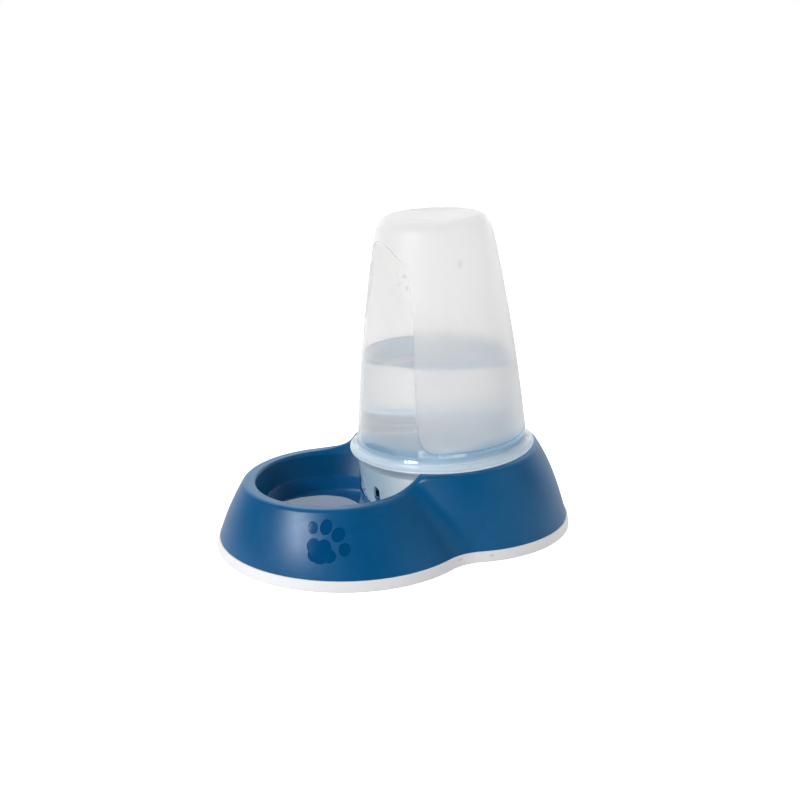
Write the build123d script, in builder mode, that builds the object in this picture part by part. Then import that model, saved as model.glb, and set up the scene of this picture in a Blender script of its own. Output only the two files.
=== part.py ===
from build123d import *
import os
from math import sin, cos, tan, radians, sqrt, hypot

# Gravity water dispenser for pets: a moulded base with a drinking bowl, and a
# bell-shaped reservoir that stands upside down in a round well behind the bowl.
# Millimetres, +Z up, the bowl faces -Y, the mirror plane is X = 0.
# The origin is on the floor under the middle of the base.

os.makedirs("parts", exist_ok=True)

# ---------------------------------------------------------------- dimensions
# floor outline: two lobes joined by a soft waist
FRONT_R, FRONT_Y = 97.3, -42.8          # bowl lobe
REAR_R, REAR_Y = 89.0, 51.0             # reservoir lobe
WAIST_R = 36.0                          # concave radius of the waist

# white anti-slip rim under the base
RIM_H = 7.7
RIM_DRAFT = 1.5                         # how far its top leans in
RIM_W = 7.4                             # its whole width
TONGUE_IN, TONGUE_T = 2.5, 2.5          # where the base wall stands in its groove
TONGUE_Z = 2.6

# base shell
SKIRT_IN = 2.4                          # skirt foot, inside the floor outline
WALL = 2.5
LAND_Z, LAND_Y, LAND_SLOPE = 51.6, -50.7, 0.028      # the rim of the bowl
RAMP = [(-42.0, 51.85), (-30.0, 52.9), (-22.0, 54.7), (-15.0, 57.5), (-11.0, 60.3),
        (-7.5, 62.35), (-3.0, 63.12)]   # side profile of the climb to the seat
BOWL_Y, BOWL_Z, BOWL_R = -52.7, 50.8, 59.1           # bowl wall near the rim
BOWL_SLOPE = 0.41                       # wall run per mm of depth
FLARE_Z, FLARE_SLOPE = 48.8, 0.77       # the mouth opens wider above this height
FLOOR_Z = 9.0                           # bowl and well floor

# reservoir axis: leans towards the bowl
LEAN = 2.9
SEAT_Y, SEAT_Z = 38.0, 65.2             # axis point in the seat plane
WELL_R = 67.0                           # well mouth
WELL_DRAFT = 0.045

# reservoir
RES_T = 1.6
FLANGE_R = 70.7
SKIRT_LEN = 50.0
NECK_R, NECK_IN = 25.0, 22.8
NECK_END = -24.0

# outlet slots in the lower skirt, facing the bowl
SLOT_ANGLE, SLOT_W, SLOT_TOP = 10.5, 7.4, -19.6

# filler cap and valve, heights along the reservoir axis from the seat plane
CAP_R, CAP_BORE, CAP_TOP, CAP_FLOOR, CAP_T = 29.5, 26.4, -11.5, -26.4, 2.6
SPOUT_END = -32.2                       # sets the water level in the bowl
PORT_R = 7.5
LIFT_OPEN = 4.0                         # how far the seated valve stands open

# paw marks sunk into the side wall, one on each side of the bowl
PAW_DIR, PAW_TILT, PAW_DEEP = 57.0, 26.0, 0.6
PAW_AT = (71.6, -93.6, 27.0)
# toe centre x, y, half length, half width, direction of its length
TOES = [(-7.5, 15.4, 4.5, 3.6, 99), (1.7, 16.2, 5.7, 4.2, 79),
        (10.4, 11.3, 5.4, 4.6, 65), (15.4, 1.3, 4.8, 4.1, 81)]
PAD = [(-10.7, 1.5), (-9.6, 6.8), (-6.6, 8.2), (-3.2, 6.4), (0.6, 7.8), (4.3, 5.6),
       (7.3, 1.0), (9.9, -3.4), (7.4, -7.8), (1.5, -9.5), (-5.0, -7.7), (-9.4, -3.2)]

# ---------------------------------------------------------------- helpers
lean = radians(LEAN)
axis_up = Vector(0, -sin(lean), cos(lean))
seat = Plane(origin=(0, SEAT_Y, SEAT_Z), x_dir=(1, 0, 0), z_dir=tuple(axis_up))
# section plane through the reservoir axis: x is the radius, y the height
section = Plane(origin=(0, SEAT_Y, SEAT_Z), x_dir=(1, 0, 0),
                z_dir=(0, -cos(lean), -sin(lean)))
res_axis = Axis((0, SEAT_Y, SEAT_Z), tuple(axis_up))


def wall_r(s):
    """Outside radius of the reservoir's wall, s above the seat plane."""
    return 65.45 - 0.0749 * s - 0.000355 * s * s


def outer_rim(edge):
    """True for the top edges that run along the outside of the base."""
    p = edge @ 0.5
    if p.Z < 45 or edge.geom_type == GeomType.LINE:
        return False
    if p.Y < -20:
        return hypot(p.X, p.Y - BOWL_Y) > 63
    return hypot(p.X, p.Y - SEAT_Y) > 69.5


def inner_rim(edge):
    """True for the top edges round the bowl and the well."""
    p = edge @ 0.5
    if p.Z < 45 or edge.geom_type == GeomType.LINE:
        return False
    if p.Y < -20:
        return hypot(p.X, p.Y - BOWL_Y) < 63.5
    return hypot(p.X, p.Y - SEAT_Y) < 68.5


def lobes(r1, y1, r2, y2, r3, inset=0.0):
    """Outline of two circles joined by concave arcs, drawn as four arcs."""
    r1, r2, r3 = r1 - inset, r2 - inset, r3 + inset
    d = y2 - y1
    a, b = r1 + r3, r2 + r3
    u = (a * a - b * b + d * d) / (2 * d)
    xc, yc = sqrt(a * a - u * u), y1 + u
    ax, ay = xc * r1 / a, y1 + (yc - y1) * r1 / a
    bx, by = xc * r2 / b, y2 + (yc - y2) * r2 / b
    my = (ay + by) / 2
    mx = xc - sqrt(r3 * r3 - (my - yc) ** 2)
    ThreePointArc((-ax, ay), (0, y1 - r1), (ax, ay))
    ThreePointArc((ax, ay), (mx, my), (bx, by))
    ThreePointArc((bx, by), (0, y2 + r2), (-bx, by))
    ThreePointArc((-bx, by), (-mx, my), (-ax, ay))


def skirt(z):
    """Lobe sizes of the base's side wall at height z."""
    t = (z - RIM_H) / 42.1
    u = (z - RIM_H) / 56.9
    r1 = (FRONT_R - SKIRT_IN) - 25.2 * (0.5 * t + 0.5 * t ** 1.57)
    y1 = FRONT_Y - 7.2 * t ** 1.24
    r2 = (REAR_R - SKIRT_IN) - 11.6 * (0.5 * u + 0.5 * u ** 3.23)
    y2 = REAR_Y - 13.0 * u
    r3 = (WAIST_R + SKIRT_IN) - 26.0 * u
    return r1, y1, r2, y2, r3


LEVELS = [RIM_H, 18, 30, 42, 52, 61, 71]


def top_line(drop=0.0):
    """Side profile of the base's upper surface: rim, ramp and seat plane."""
    z0 = LAND_Z + LAND_SLOPE * (-160 - LAND_Y) - drop
    climb = [(y, z - drop) for y, z in RAMP]
    z1 = SEAT_Z + tan(lean) * (160 - SEAT_Y) - drop
    Line((-160, z0), climb[0])
    Spline(*climb, tangents=[(1, LAND_SLOPE), (1, tan(lean))])
    Line(climb[-1], (160, z1))
    Polyline((160, z1), (160, 140), (-160, 140), (-160, z0))


def bowl_profile(grow=0.0):
    """Half section of the bowl, revolved about its own vertical axis."""
    g = grow * sqrt(1 + BOWL_SLOPE ** 2)
    h = grow * sqrt(1 + FLARE_SLOPE ** 2)
    zf = FLOOR_Z - grow
    zk = FLARE_Z - (h - g) / (FLARE_SLOPE - BOWL_SLOPE)
    rf = BOWL_R - BOWL_SLOPE * (BOWL_Z - zf) + g
    rk = BOWL_R - BOWL_SLOPE * (BOWL_Z - zk) + g
    rt = rk + FLARE_SLOPE * (78 - zk)
    Polyline((0, zf), (rf, zf), (rk, zk), (rt, 78), (0, 78), (0, zf))


# ---------------------------------------------------------------- cutters
# the bowl's hollow, and the same form grown by the wall thickness
with BuildPart() as bowl_hollow:
    with BuildSketch(Plane(origin=(0, BOWL_Y, 0), x_dir=(1, 0, 0), z_dir=(0, -1, 0))):
        with BuildLine():
            bowl_profile()
        make_face()
    revolve(axis=Axis((0, BOWL_Y, 0), (0, 0, 1)))
    fillet(bowl_hollow.edges().filter_by(GeomType.CIRCLE).sort_by(Axis.Z)[0], 11)

with BuildPart() as bowl_form:
    with BuildSketch(Plane(origin=(0, BOWL_Y, 0), x_dir=(1, 0, 0), z_dir=(0, -1, 0))):
        with BuildLine():
            bowl_profile(WALL)
        make_face()
    revolve(axis=Axis((0, BOWL_Y, 0), (0, 0, 1)))
    fillet(bowl_form.edges().filter_by(GeomType.CIRCLE).sort_by(Axis.Z)[0], 13)

# the round well behind it, about the leaning axis, with a level floor
with BuildPart() as well_hollow:
    with BuildSketch(section):
        with BuildLine():
            Polyline((0, -75), (WELL_R - 75 * WELL_DRAFT, -75),
                     (WELL_R + 12 * WELL_DRAFT, 12), (0, 12), (0, -75))
        make_face()
    revolve(axis=res_axis)
    with BuildSketch(Plane.XY.offset(FLOOR_Z)):
        Rectangle(400, 400)
    extrude(amount=-200, mode=Mode.SUBTRACT)
    fillet(well_hollow.edges().group_by(Axis.Z)[0], 4)

with BuildPart() as well_form:
    with BuildSketch(section):
        with BuildLine():
            Polyline((0, -75), (WELL_R + WALL - 75 * WELL_DRAFT, -75),
                     (WELL_R + WALL + 12 * WELL_DRAFT, 12), (0, 12), (0, -75))
        make_face()
    revolve(axis=res_axis)
    with BuildSketch(Plane.XY.offset(FLOOR_Z - WALL)):
        Rectangle(400, 400)
    extrude(amount=-200, mode=Mode.SUBTRACT)
    fillet(well_form.edges().group_by(Axis.Z)[0], 6)

# the space under the shell, between the side wall and the bowl
with BuildPart() as under_space:
    for z in LEVELS:
        with BuildSketch(Plane.XY.offset(z)):
            with BuildLine():
                lobes(*skirt(z), inset=WALL)
            make_face()
    loft()
    with BuildSketch(Plane.XY.offset(RIM_H)):
        with BuildLine():
            lobes(*skirt(RIM_H), inset=WALL + 0.2)
        make_face()
    extrude(amount=-20)
    with BuildSketch(Plane.YZ):
        with BuildLine():
            top_line(drop=WALL + 0.2)
        make_face()
    extrude(amount=160, both=True, mode=Mode.SUBTRACT)
    add(bowl_form.part, mode=Mode.SUBTRACT)
    add(well_form.part, mode=Mode.SUBTRACT)

# the wall as it would be a little thinner, to sink the paw mark to an even depth
with BuildPart() as wall_core:
    for z in LEVELS:
        with BuildSketch(Plane.XY.offset(z)):
            with BuildLine():
                lobes(*skirt(z), inset=PAW_DEEP)
            make_face()
    loft()

a, n = radians(PAW_DIR), radians(PAW_TILT)
paw_plane = Plane(origin=PAW_AT, x_dir=(cos(a), sin(a), 0),
                  z_dir=(sin(a) * cos(n), -cos(a) * cos(n), sin(n)))
with BuildPart() as paw_pocket:
    with BuildSketch(paw_plane.offset(-12)):
        for x, y, rx, ry, turn in TOES:
            with Locations(Location((x, y), turn)):
                Ellipse(rx, ry)
        with BuildLine():
            Spline(*PAD, periodic=True)
        make_face()
    extrude(amount=24)
    add(wall_core.part, mode=Mode.SUBTRACT)

# ---------------------------------------------------------------- base
with BuildPart() as base_housing:
    for z in LEVELS:
        with BuildSketch(Plane.XY.offset(z)):
            with BuildLine():
                lobes(*skirt(z))
            make_face()
    loft()
    with BuildSketch(Plane.YZ):
        with BuildLine():
            top_line()
        make_face()
    extrude(amount=160, both=True, mode=Mode.SUBTRACT)
    fillet(base_housing.edges().filter_by(outer_rim), 4.0)
    add(bowl_hollow.part, mode=Mode.SUBTRACT)
    add(well_hollow.part, mode=Mode.SUBTRACT)
    fillet(base_housing.edges().filter_by(inner_rim), 1.6)
    add(under_space.part, mode=Mode.SUBTRACT)
    add(paw_pocket.part, mode=Mode.SUBTRACT)
    add(mirror(paw_pocket.part, about=Plane.YZ), mode=Mode.SUBTRACT)
    # lower edge, which stands in the rim's groove
    with BuildSketch(Plane.XY.offset(TONGUE_Z)):
        with BuildLine():
            lobes(FRONT_R, FRONT_Y, REAR_R, REAR_Y, WAIST_R, inset=TONGUE_IN)
        make_face()
        with BuildLine():
            lobes(FRONT_R, FRONT_Y, REAR_R, REAR_Y, WAIST_R, inset=TONGUE_IN + TONGUE_T)
        make_face(mode=Mode.SUBTRACT)
    extrude(amount=RIM_H - TONGUE_Z)
    # post that holds the valve open, with four ribs
    with BuildSketch(seat.offset(-38.1)):
        Circle(4.0)
    extrude(amount=-19.6)
    with BuildSketch(seat.offset(-46)):
        Rectangle(19, 2)
        Rectangle(2, 19)
    extrude(amount=-11.7)

# ---------------------------------------------------------------- rim
with BuildPart() as anti_slip_rim:
    for z, inset in ((0, 0.0), (RIM_H, RIM_DRAFT)):
        with BuildSketch(Plane.XY.offset(z)):
            with BuildLine():
                lobes(FRONT_R, FRONT_Y, REAR_R, REAR_Y, WAIST_R, inset=inset)
            make_face()
    loft(ruled=True)
    fillet(anti_slip_rim.faces().sort_by(Axis.Z)[-1].edges(), 0.5)
    fillet(anti_slip_rim.faces().sort_by(Axis.Z)[0].edges(), 0.5)
    with BuildSketch(Plane.XY.offset(-1)):
        with BuildLine():
            lobes(FRONT_R, FRONT_Y, REAR_R, REAR_Y, WAIST_R, inset=RIM_W)
        make_face()
    extrude(amount=20, mode=Mode.SUBTRACT)
    # inner lip stands lower than the outer one
    with BuildSketch(Plane.XY.offset(RIM_H - 1.6)):
        with BuildLine():
            lobes(FRONT_R, FRONT_Y, REAR_R, REAR_Y, WAIST_R, inset=TONGUE_IN + 0.3)
        make_face()
    extrude(amount=5, mode=Mode.SUBTRACT)
    # groove
    with BuildSketch(Plane.XY.offset(TONGUE_Z)):
        with BuildLine():
            lobes(FRONT_R, FRONT_Y, REAR_R, REAR_Y, WAIST_R, inset=TONGUE_IN - 0.05)
        make_face()
        with BuildLine():
            lobes(FRONT_R, FRONT_Y, REAR_R, REAR_Y, WAIST_R,
                  inset=TONGUE_IN + TONGUE_T + 0.05)
        make_face(mode=Mode.SUBTRACT)
    extrude(amount=10, mode=Mode.SUBTRACT)

# ---------------------------------------------------------------- reservoir
# bell: top, wall and the flare at its foot, open below
with BuildPart() as reservoir_bell:
    with BuildSketch(section):
        with BuildLine():
            # top, slightly dished, and rounded shoulder
            Spline((0, 175.6), (22, 175.7), (31, 176.3), tangents=[(1, 0), (1, 0)])
            Bezier((31, 176.3), (40.5, 176.3), (wall_r(165.5), 166.0), (wall_r(157), 157))
            # wall
            Spline(*[(wall_r(s), s) for s in (157, 130, 95, 55, 25, 9.5)])
            # flare into the bead round the foot
            Bezier((wall_r(9.5), 9.5), (65.0, 7.2), (66.6, 4.0), (69.0, 2.1))
            Bezier((69.0, 2.1), (69.9, 1.5), (70.5, 1.4), (70.6, 0.9))
            Polyline((70.6, 0.9), (FLANGE_R, 0.5), (70.3, 0.05), (67.4, 0.05), (66.5, 0.8))
            Bezier((66.5, 0.8), (65.0, 2.2), (wall_r(9.5) - RES_T + 0.2, 5.8),
                   (wall_r(9.5) - RES_T, 9.5))
            # inside of the wall, shoulder and top
            Spline(*[(wall_r(s) - RES_T, s) for s in (9.5, 25, 55, 95, 130, 157)])
            Bezier((wall_r(157) - RES_T, 157), (wall_r(165) - RES_T, 165.2), (39.4, 174.7),
                   (31, 174.7))
            Spline((31, 174.7), (22, 174.1), (0, 174.0), tangents=[(-1, 0), (-1, 0)])
            Line((0, 174.0), (0, 175.6))
        make_face()
    revolve(axis=res_axis)

# foot: collar inside the flare, lower skirt in the well, sloping floor, filling neck
with BuildPart() as reservoir_foot:
    with BuildSketch(section):
        with BuildLine():
            Bezier((66.45, 0.75), (64.95, 2.15), (wall_r(9.5) - RES_T + 0.15, 5.75),
                   (wall_r(9.5) - RES_T - 0.05, 9.45))
            Polyline((wall_r(9.5) - RES_T - 0.05, 9.45), (62.5, 9.2), (62.2, 2.0), (60.6, -4.0),
                     # top of the sloping floor, inside and outside of the neck
                     (24.6, -7.6), (NECK_IN, -9.0), (NECK_IN, NECK_END), (24.5, NECK_END),
                     (NECK_R, -23.4), (NECK_R, -11.0), (27.2, -9.6),
                     # underside of the floor, lower skirt
                     (62.4, -6.2), (63.4, -5.4), (60.8, 0.7 - SKIRT_LEN), (61.3, -SKIRT_LEN),
                     (61.8, -SKIRT_LEN), (62.4, 0.7 - SKIRT_LEN), (65.4, -0.6), (66.45, 0.0),
                     (66.45, 0.75))
        make_face()
    revolve(axis=res_axis)
    # neck ridges that hold the cap
    with BuildSketch(section):
        for s in (-13.2, -18.6):
            with BuildLine():
                Polyline((24.6, s + 0.9), (26.0, s + 0.4), (26.0, s - 0.4), (24.6, s - 0.9),
                         (24.6, s + 0.9))
            make_face()
    revolve(axis=res_axis)
    # outlet slots towards the bowl
    for turn in (-SLOT_ANGLE, SLOT_ANGLE):
        c, d = cos(radians(turn)), sin(radians(turn))
        facing = Plane(origin=(0, SEAT_Y, SEAT_Z),
                       x_dir=(c, d * cos(lean), d * sin(lean)),
                       z_dir=(d, -c * cos(lean), -c * sin(lean)))
        with BuildSketch(facing.offset(50)):
            with Locations((0, (SLOT_TOP - SLOT_W / 2 - 60) / 2)):
                Rectangle(SLOT_W, SLOT_TOP - SLOT_W / 2 + 60)
            with Locations((0, SLOT_TOP - SLOT_W / 2)):
                Circle(SLOT_W / 2)
        extrude(amount=20, mode=Mode.SUBTRACT)

# ---------------------------------------------------------------- cap and valve
with BuildPart() as filler_cap:
    with BuildSketch(section):
        with BuildLine():
            Polyline((CAP_BORE, CAP_TOP), (28.9, CAP_TOP), (CAP_R, -12.1), (29.3, -28.0),
                     (28.3, CAP_FLOOR - CAP_T), (10.2, CAP_FLOOR - CAP_T), (9.7, -31.8),
                     (9.3, SPOUT_END), (7.9, SPOUT_END), (PORT_R, -31.8),
                     (PORT_R, CAP_FLOOR), (CAP_BORE, CAP_FLOOR), (CAP_BORE, -17.0),
                     (25.4, -16.4), (25.4, -15.4), (CAP_BORE, -14.8), (CAP_BORE, CAP_TOP))
        make_face()
    revolve(axis=res_axis)
    # finger grips round the outside
    with BuildSketch(seat.offset(-13.2)):
        with PolarLocations(CAP_R - 0.2, 30):
            Rectangle(1.6, 1.5)
    extrude(amount=-13.6)

with BuildPart() as cap_gasket:
    with BuildSketch(seat.offset(CAP_FLOOR)):
        Circle(26.1)
        Circle(23.0, mode=Mode.SUBTRACT)
    extrude(amount=2.2)
    fillet(cap_gasket.edges(), 0.4)

with BuildPart() as valve_cage:
    with BuildSketch(seat.offset(CAP_FLOOR)):
        Circle(21.5)
        Circle(16.5, mode=Mode.SUBTRACT)
    extrude(amount=1.6)
    with BuildSketch(seat.offset(CAP_FLOOR + 1.6)):
        Circle(19.4)
        Circle(17.0, mode=Mode.SUBTRACT)
        with PolarLocations(0, 3):
            with Locations((-18, 0)):
                Rectangle(24, 22, mode=Mode.SUBTRACT)
    extrude(amount=15.8)
    with BuildSketch(seat.offset(CAP_FLOOR + 17.4)):
        Circle(19.4)
        Circle(17.0, mode=Mode.SUBTRACT)
        Circle(5.4)
        with PolarLocations(0, 3):
            with Locations((11, 0)):
                Rectangle(14, 3.2)
    extrude(amount=1.8)
    with BuildSketch(seat.offset(-5)):
        Circle(2.08)
    extrude(amount=-6, mode=Mode.SUBTRACT)

with BuildPart() as valve_stem:
    with BuildSketch(section):
        with BuildLine():
            Polyline((0, -1.4), (1.5, -1.4), (2.0, -2.0), (2.0, -17.2), (3.2, -17.6),
                     (3.2, -19.2), (10.6, -19.2), (11.0, -19.6), (11.0, -21.2), (2.6, -21.2),
                     (2.6, -35.0), (3.0, -35.4), (3.0, -37.4), (2.4, -38.0), (0, -38.0),
                     (0, -1.4))
        make_face()
    revolve(axis=res_axis)
    with BuildSketch(seat.offset(-21.2)):
        Rectangle(14.0, 1.4)
        Rectangle(1.4, 14.0)
    extrude(amount=-13.4)

with BuildPart() as valve_seal:
    with BuildSketch(section):
        with BuildLine():
            Polyline((7.6, -21.2), (10.9, -21.2), (10.9, -22.0), (10.5, -22.4),
                     (8.4, -22.4), (7.6, -21.9), (7.6, -21.2))
        make_face()
    revolve(axis=res_axis)

with BuildPart() as valve_spring:
    with BuildLine():
        coil = Helix(pitch=2.2, height=8.8, radius=5.0,
                     center=tuple(Vector(0, SEAT_Y, SEAT_Z) + axis_up * -18.5),
                     direction=tuple(axis_up))
    with BuildSketch(Plane(origin=coil @ 0, z_dir=coil % 0)):
        Circle(0.5)
    sweep()

# ---------------------------------------------------------------- output
for name, piece in (
        ("base_housing", base_housing), ("anti_slip_rim", anti_slip_rim),
        ("reservoir_bell", reservoir_bell), ("reservoir_foot", reservoir_foot),
        ("filler_cap", filler_cap), ("cap_gasket", cap_gasket),
        ("valve_cage", valve_cage), ("valve_stem", valve_stem), ("valve_seal", valve_seal),
        ("valve_spring", valve_spring)):
    piece.part.label = name
    export_step(piece.part, "parts/" + name + ".step")
    box = piece.part.bounding_box()
    print(name, len(piece.part.solids()), round(piece.part.volume, 1),
          tuple(round(v, 2) for v in box.min), tuple(round(v, 2) for v in box.max))
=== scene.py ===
import math

import bmesh
import bpy
import numpy as np
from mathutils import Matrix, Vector


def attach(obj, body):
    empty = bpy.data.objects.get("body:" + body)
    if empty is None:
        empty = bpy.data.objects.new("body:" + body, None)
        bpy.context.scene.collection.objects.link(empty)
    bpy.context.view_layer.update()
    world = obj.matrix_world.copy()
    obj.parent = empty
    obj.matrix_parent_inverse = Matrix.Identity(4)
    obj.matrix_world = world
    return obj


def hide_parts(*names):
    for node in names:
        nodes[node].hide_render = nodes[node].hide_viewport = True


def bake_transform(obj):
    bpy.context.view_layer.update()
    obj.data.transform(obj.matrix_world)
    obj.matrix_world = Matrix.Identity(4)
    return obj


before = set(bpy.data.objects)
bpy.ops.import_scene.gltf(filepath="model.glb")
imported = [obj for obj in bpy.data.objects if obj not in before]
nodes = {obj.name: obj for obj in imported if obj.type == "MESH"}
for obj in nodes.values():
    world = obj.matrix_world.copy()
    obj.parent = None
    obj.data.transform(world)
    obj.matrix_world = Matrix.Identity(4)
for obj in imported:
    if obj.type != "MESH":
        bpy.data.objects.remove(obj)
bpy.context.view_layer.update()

# Sizes below are in millimetres, as in the construction model, and are turned into metres as each mesh is made.
MM = 0.001
LEAN = math.radians(2.9)
SEAT = np.array([0.0, 38.0, 65.2])
UP = np.array([0.0, -math.sin(LEAN), math.cos(LEAN)])
RIGHT = np.array([1.0, 0.0, 0.0])
BACK = np.array([0.0, math.cos(LEAN), math.sin(LEAN)])
RES_T = 1.6

WATER_Z = 137.1        # water level in the reservoir
BOWL_WATER_Z = 33.0    # water level in the bowl


# ---------------------------------------------------------------- camera
scene = bpy.context.scene
cam_data = bpy.data.cameras.new("camera")
cam_data.sensor_fit = "AUTO"
cam_data.sensor_width = 36.0
cam_data.lens = 54.541
cam_data.clip_start = 0.02
cam_data.clip_end = 50
camera = bpy.data.objects.new("camera", cam_data)
scene.collection.objects.link(camera)
camera.location = (0.78127, -0.39059, 0.35417)
aim = Vector((0.0, 0.00201, 0.10333))
camera.rotation_euler = (aim - camera.location).to_track_quat("-Z", "Y").to_euler()
scene.camera = camera


# ---------------------------------------------------------------- shape helpers
def wall_r(s):
    """Outside radius of the reservoir's wall, s above the seat plane."""
    return 65.45 - 0.0749 * s - 0.000355 * s * s


def at(r, a, s):
    """A point of the reservoir: radius, angle from the bowl's side towards +X, height along its axis."""
    r, a, s = np.broadcast_arrays(np.asarray(r, float), np.asarray(a, float), np.asarray(s, float))
    return (SEAT + UP * s[..., None] + r[..., None] * (np.sin(a)[..., None] * RIGHT - np.cos(a)[..., None] * BACK))


def bezier(p, n, first=True):
    p = [np.array(q, float) for q in p]
    t = np.linspace(0, 1, n + 1)[(0 if first else 1):, None]
    return ((1 - t) ** 3 * p[0] + 3 * (1 - t) ** 2 * t * p[1] + 3 * (1 - t) * t * t * p[2] + t ** 3 * p[3])


def smooth(x):
    x = np.clip(x, 0, 1)
    return x * x * (3 - 2 * x)


def grid_mesh(name, rings, bottom=None, top=None, close=False):
    """A closed mesh of rings of equal length: rings is (rows, columns, 3), bottom and top are single end points."""
    rings = np.asarray(rings, float)
    rows, cols = rings.shape[:2]
    points = [rings.reshape(-1, 3)]
    j = np.arange(cols)
    k = (j + 1) % cols
    faces = []
    for i in range(rows - 1 + (1 if close else 0)):
        a, b = i * cols, ((i + 1) % rows) * cols
        faces += np.stack([a + j, a + k, b + k, b + j], 1).tolist()
    n = rows * cols
    if bottom is not None:
        points.append(np.array([bottom], float))
        faces += [[n, int(q), int(p)] for p, q in zip(j, k)]
        n += 1
    if top is not None:
        points.append(np.array([top], float))
        a = (rows - 1) * cols
        faces += [[n, a + int(p), a + int(q)] for p, q in zip(j, k)]
    me = bpy.data.meshes.new(name)
    me.from_pydata((np.concatenate(points) * MM).tolist(), [], faces)
    me.validate()
    me.polygons.foreach_set("use_smooth", [True] * len(me.polygons))
    me.update()
    ob = bpy.data.objects.new(name, me)
    scene.collection.objects.link(ob)
    return ob


def outward(ob):
    """Turns every face of a closed mesh to look outwards."""
    bm = bmesh.new()
    bm.from_mesh(ob.data)
    bmesh.ops.recalc_face_normals(bm, faces=bm.faces)
    bm.to_mesh(ob.data)
    bm.free()


# ---------------------------------------------------------------- materials
def lin(r, g, b):
    """A colour of 0 to 255 as linear light."""
    f = lambda c: c / 12.92 if c <= 0.04045 else ((c + 0.055) / 1.055) ** 2.4
    return (f(r / 255), f(g / 255), f(b / 255), 1.0)


class Tree:
    """Short names for making a node material."""

    def __init__(self, name):
        self.mat = bpy.data.materials.new(name)
        self.mat.use_nodes = True
        self.nt = self.mat.node_tree
        self.nt.nodes.clear()
        self.out = self.node("ShaderNodeOutputMaterial")
        self.coords = self.node("ShaderNodeTexCoord").outputs["Object"]

    def node(self, kind, inputs=None, **props):
        n = self.nt.nodes.new(kind)
        for key, value in props.items():
            setattr(n, key, value)
        for key, value in (inputs or {}).items():
            if isinstance(value, bpy.types.NodeSocket):
                self.nt.links.new(value, n.inputs[key])
            else:
                n.inputs[key].default_value = value
        return n

    def math(self, op, a, b=0.0, clamp=False):
        return self.node("ShaderNodeMath", {0: a, 1: b}, operation=op, use_clamp=clamp).outputs[0]

    def vec(self, op, a, b=None, out=0):
        inputs = {0: a}
        if b is not None:
            inputs[1] = b
        return self.node("ShaderNodeVectorMath", inputs, operation=op).outputs[out]

    def noise(self, scale, detail=3.0, rough=0.55, stretch=None, distortion=0.0):
        vector = self.coords
        if stretch:
            vector = self.node("ShaderNodeMapping", {"Vector": vector, "Scale": stretch}).outputs[0]
        return self.node("ShaderNodeTexNoise", {"Vector": vector, "Scale": scale, "Detail": detail, "Roughness": rough,
                                                "Distortion": distortion}).outputs["Fac"]

    def ramp(self, value, low, high, a=0.0, b=1.0, kind="SMOOTHSTEP"):
        return self.node("ShaderNodeMapRange", {"Value": value, "From Min": low, "From Max": high, "To Min": a, "To Max": b},
                         interpolation_type=kind, clamp=True).outputs[0]

    def mix(self, factor, a, b, kind="MIX"):
        n = self.node("ShaderNodeMix", data_type="RGBA", blend_type=kind)
        for index, value in ((0, factor), (6, a), (7, b)):
            if isinstance(value, bpy.types.NodeSocket):
                self.nt.links.new(value, n.inputs[index])
            else:
                n.inputs[index].default_value = value
        return n.outputs[2]

    def bump(self, height, strength, distance, normal=None):
        inputs = {"Height": height, "Strength": strength, "Distance": distance}
        if normal is not None:
            inputs["Normal"] = normal
        return self.node("ShaderNodeBump", inputs).outputs[0]

    def edge(self, radius, low, high):
        """1 on edges that stand out or turn in within radius, 0 on even faces."""
        rounded = self.node("ShaderNodeBevel", {"Radius": radius}, samples=6).outputs[0]
        plain = self.node("ShaderNodeNewGeometry").outputs["Normal"]
        return self.ramp(self.vec("DOT_PRODUCT", rounded, plain, out=1), high, low)

    def principled(self, **sockets):
        names = {"color": "Base Color", "rough": "Roughness", "spec": "Specular IOR Level", "ior": "IOR", "metal": "Metallic",
                 "clear": "Transmission Weight", "coat": "Coat Weight", "coat_rough": "Coat Roughness", "normal": "Normal",
                 "sheen": "Sheen Weight", "tint": "Specular Tint", "sub": "Subsurface Weight", "sub_scale": "Subsurface Scale", "sub_radius": "Subsurface Radius"}
        return self.node("ShaderNodeBsdfPrincipled", {names[k]: v for k, v in sockets.items()})

    def finish(self, shader):
        self.nt.links.new(shader.outputs[0], self.out.inputs["Surface"])
        return self.mat


def let_light_in(t, shader, share, tint=(0.97, 0.98, 1.0, 1.0)):
    """Lets part of the lamps' light through a clear wall, where a plain glass shader would shade what stands inside."""
    path = t.node("ShaderNodeLightPath").outputs["Is Shadow Ray"]
    through = t.node("ShaderNodeBsdfTransparent", {"Color": tint})
    return t.node("ShaderNodeMixShader", {0: t.math("MULTIPLY", path, share), 1: shader.outputs[0], 2: through.outputs[0]})


# paw marks sunk into both sides of the base, in their own plane: centre, half sizes and turn of each toe, then the pad
PAW_AT = (71.6, -93.6, 27.0)
PAW_DIR, PAW_TILT = math.radians(57), math.radians(26)
TOES = [(-7.5, 15.4, 4.5, 3.6, 99), (1.7, 16.2, 5.7, 4.2, 79), (10.4, 11.3, 5.4, 4.6, 65), (15.4, 1.3, 4.8, 4.1, 81)]
PAD = [(-6.1, 2.9, 4.8, 5.5, 0), (1.3, 2.6, 5.0, 5.2, 0), (4.4, -3.6, 5.5, 4.9, 0), (-1.5, -3.6, 5.9, 6.0, 0), (-5.6, -3.2, 4.6, 5.0, 0)]


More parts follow.
